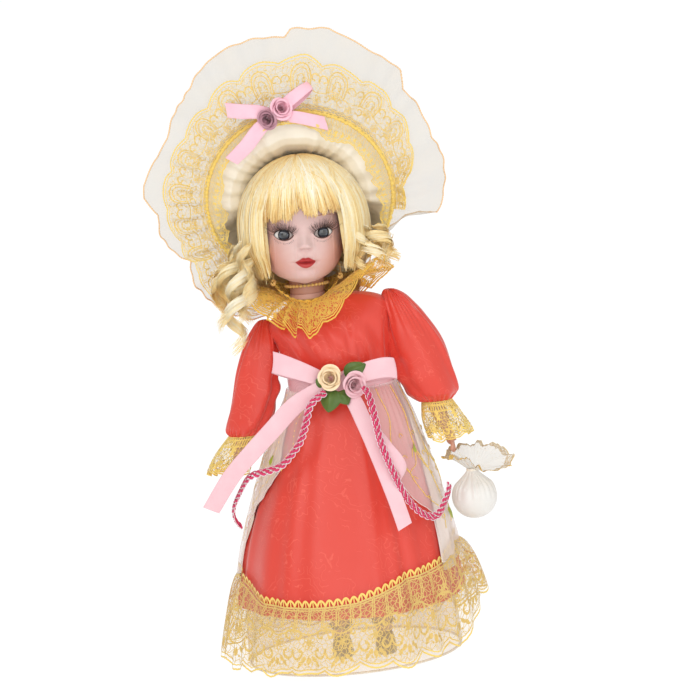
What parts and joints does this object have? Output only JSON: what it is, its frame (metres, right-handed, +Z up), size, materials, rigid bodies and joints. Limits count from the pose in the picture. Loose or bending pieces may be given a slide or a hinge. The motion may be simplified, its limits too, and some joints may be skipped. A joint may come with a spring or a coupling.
{
  "type": "porcelain doll",
  "caption": "Standing collector doll with porcelain head and limbs, blonde wig, coral satin gown with gold lace, wide lace hat and a small drawstring bag.",
  "frame": {"origin": "on the floor under the doll, at the middle of its footprint box", "axes": "+Z up through the hat, +X towards the doll's left hand, +Y towards its back"},
  "size_m": [0.1981, 0.1524, 0.3683],
  "materials": {
    "cloth": "plain cotton, stuffed",
    "porcelain": "unglazed bisque porcelain, satin",
    "neck_parts": "turned wood and pressed card",
    "steel": "plain",
    "gilt_bead": "gilt pearl",
    "coral_satin": "jacquard satin",
    "tulle": "stiff net",
    "organza": "sheer",
    "gold_lace": "gold thread lace on net",
    "pink_ribbon": "satin ribbon",
    "cream_ribbon": "satin ribbon",
    "mauve_ribbon": "satin ribbon",
    "leaf_ribbon": "satin ribbon",
    "braid": "gimp with a silver edge",
    "eye_glass": "polished glass, solid",
    "wig_hair": "fine synthetic fibre",
    "ivory_satin": "satin",
    "shoe_vinyl": "smooth black"
  },
  "bodies": {
    "torso": {"torso_cloth": "cloth", "shoulder_plate": "porcelain", "neck_socket": "neck_parts", "necklace": "gilt_bead", "bodice": "coral_satin", "skirt": "coral_satin", "petticoat": "tulle", "petticoat_hem": "tulle", "overskirt_left": "organza", "overskirt_right": "organza", "hem_lace": "gold_lace", "collar": "gold_lace", "waist_ribbon": "pink_ribbon", "bow_loops": "pink_ribbon", "bow_tails": "pink_ribbon", "rose_cream": "cream_ribbon", "rose_pink": "pink_ribbon", "rose_leaves": "leaf_ribbon", "braid_left": "braid", "braid_right": "braid"},
    "head": {"head": "porcelain", "head_pate": "neck_parts", "eye_left": "eye_glass", "eye_right": "eye_glass", "wig_cap": "wig_hair", "wig_back": "wig_hair", "wig_bangs": "wig_hair", "ringlet_left": "wig_hair", "ringlet_right": "wig_hair", "earring_left": "gilt_bead", "earring_right": "gilt_bead", "neck_bolt": "steel", "neck_nut": "steel"},
    "hat": {"hat_crown": "ivory_satin", "hat_lining": "ivory_satin", "hat_band": "gold_lace", "hat_brim": "organza", "hat_lace": "gold_lace", "hat_bow": "pink_ribbon", "hat_rose_mauve": "mauve_ribbon", "hat_rose_pink": "pink_ribbon"},
    "arm_left": {"upper_arm_left": "cloth", "sleeve_left": "coral_satin", "cuff_lace_left": "gold_lace"},
    "arm_right": {"upper_arm_right": "cloth", "sleeve_right": "coral_satin", "cuff_lace_right": "gold_lace"},
    "forearm_left": {"forearm_left": "porcelain"},
    "forearm_right": {"forearm_right": "porcelain"},
    "leg_left": {"thigh_left": "cloth"},
    "leg_right": {"thigh_right": "cloth"},
    "lower_leg_left": {"shin_left": "porcelain", "shoe_left": "shoe_vinyl"},
    "lower_leg_right": {"shin_right": "porcelain", "shoe_right": "shoe_vinyl"},
    "bag_hanger": {"bag_cord": "pink_ribbon"},
    "bag": {"bag_pouch": "ivory_satin", "bag_filling": "cloth", "bag_frill": "gold_lace"}
  },
  "joints": [
    {"name": "head_swivel", "type": "hinge", "parent": "torso", "child": "head", "pos_m": [-0.0084, 0, 0.216], "axis": [0, 0, 1], "range_deg": [-10, 20]},
    {"name": "hat_lift", "type": "slide", "parent": "head", "child": "hat", "axis": [0, 0.9563, 0.2924], "range_m": [0, 0.07]},
    {"name": "shoulder_left", "type": "hinge", "parent": "torso", "child": "arm_left", "pos_m": [0.038, 0.002, 0.205], "axis": [-1, 0, 0], "range_deg": [-12, 45]},
    {"name": "shoulder_right", "type": "hinge", "parent": "torso", "child": "arm_right", "pos_m": [-0.036, 0.002, 0.198], "axis": [-1, 0, 0], "range_deg": [-12, 40]},
    {"name": "elbow_left", "type": "hinge", "parent": "arm_left", "child": "forearm_left", "pos_m": [0.0585, -0.003, 0.15], "axis": [-1, 0, 0], "range_deg": [0, 8]},
    {"name": "elbow_right", "type": "hinge", "parent": "arm_right", "child": "forearm_right", "pos_m": [-0.052, -0.002, 0.141], "axis": [-1, 0, 0], "range_deg": [0, 12]},
    {"name": "hip_left", "type": "hinge", "parent": "torso", "child": "leg_left", "pos_m": [0.014, 0, 0.115], "axis": [-1, 0, 0], "range_deg": [-8, 8]},
    {"name": "hip_right", "type": "hinge", "parent": "torso", "child": "leg_right", "pos_m": [-0.008, 0, 0.115], "axis": [-1, 0, 0], "range_deg": [-8, 8]},
    {"name": "knee_left", "type": "hinge", "parent": "leg_left", "child": "lower_leg_left", "pos_m": [0.016, 0, 0.0765], "axis": [1, 0, 0], "range_deg": [0, 25]},
    {"name": "knee_right", "type": "hinge", "parent": "leg_right", "child": "lower_leg_right", "pos_m": [-0.0095, 0, 0.0765], "axis": [1, 0, 0], "range_deg": [0, 25]},
    {"name": "bag_swing", "type": "hinge", "parent": "forearm_left", "child": "bag_hanger", "pos_m": [0.0696, -0.012, 0.1168], "axis": [-1, 0, 0], "range_deg": [-30, 30]},
    {"name": "bag_sway", "type": "hinge", "parent": "bag_hanger", "child": "bag", "pos_m": [0.076, -0.0096, 0.1062], "axis": [0, -1, 0], "range_deg": [0, 40]}
  ]
}
